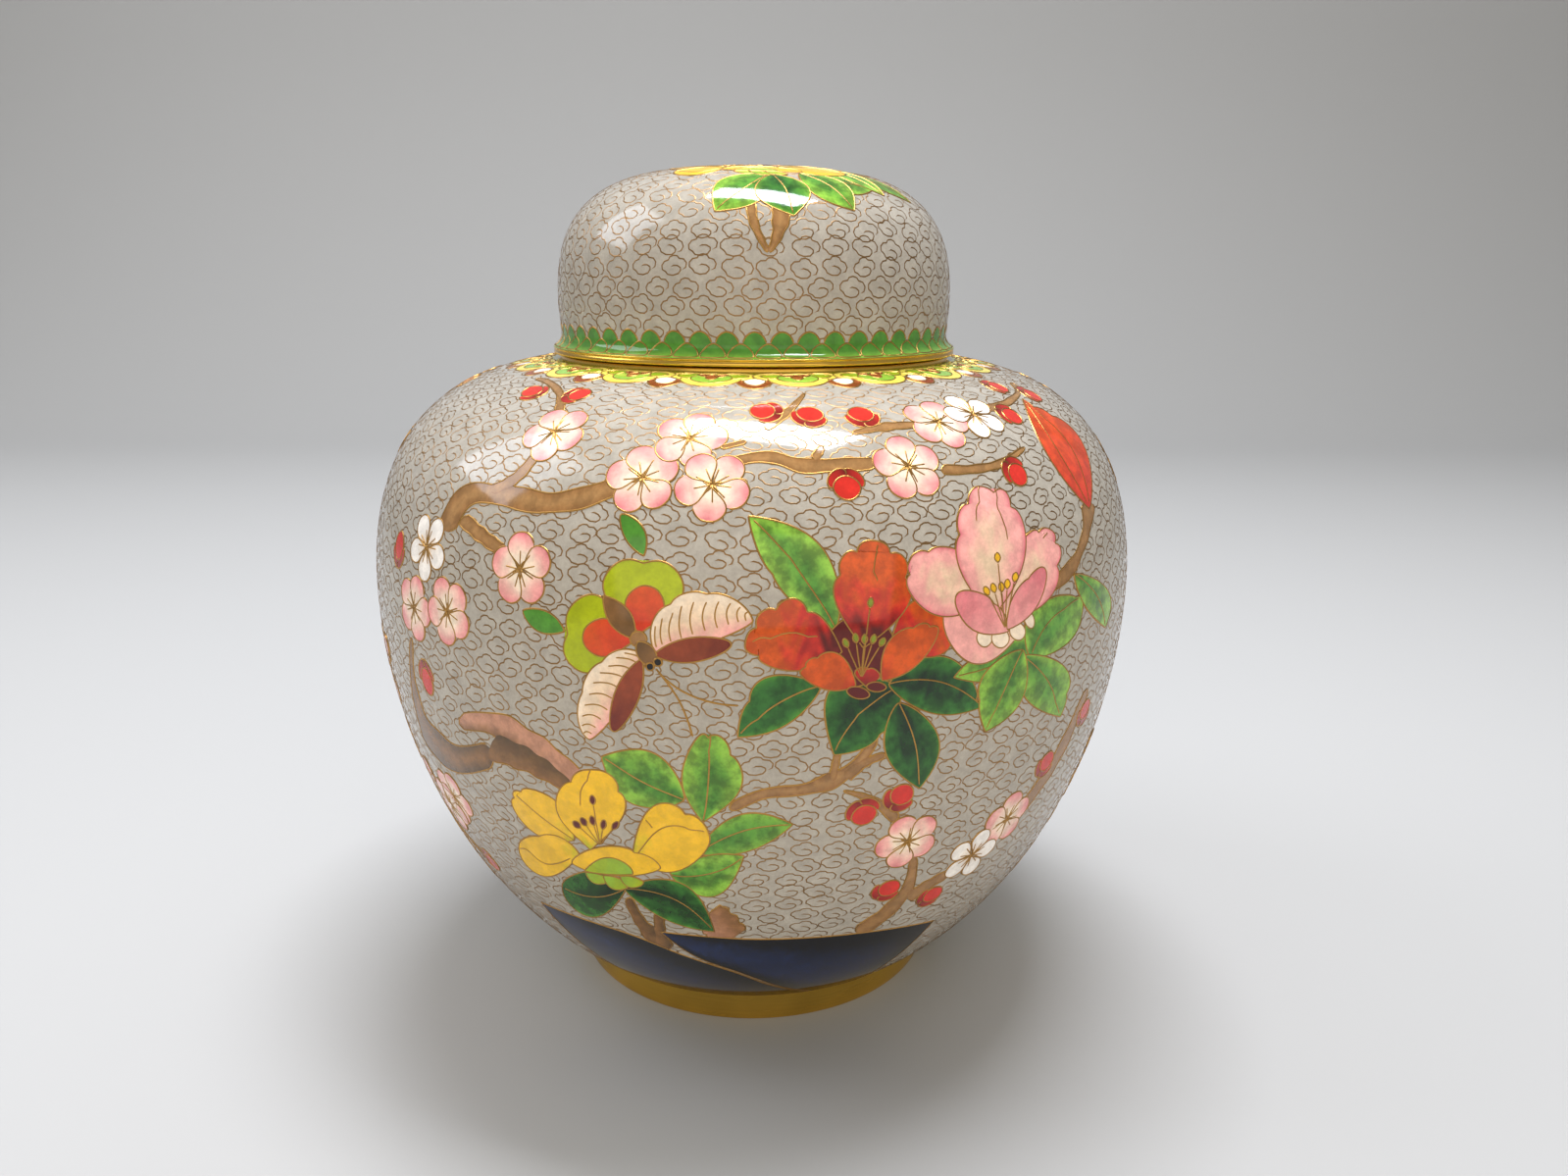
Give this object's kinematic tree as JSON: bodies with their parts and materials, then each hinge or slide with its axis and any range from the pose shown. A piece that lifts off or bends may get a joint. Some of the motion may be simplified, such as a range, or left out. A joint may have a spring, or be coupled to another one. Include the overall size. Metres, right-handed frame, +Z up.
{
  "type": "cloisonne ginger jar",
  "caption": "Rounded enamelled ginger jar with a hollow body, a gilded foot ring and a lift-off domed lid with a gilded rim.",
  "frame": {"origin": "centre of the foot ring's underside, on the surface that the jar stands on", "axes": "+Z up along the jar's turning axis; -Y is the side with the butterfly and the large blossoms"},
  "size_m": [0.19, 0.19, 0.2046],
  "materials": {
    "cloisonne_enamel": "gloss",
    "gilded_copper": "satin"
  },
  "bodies": {
    "root": {"jar_body": "cloisonne_enamel", "foot_ring": "gilded_copper", "lid": "cloisonne_enamel", "lid_rim": "gilded_copper"}
  },
  "joints": []
}
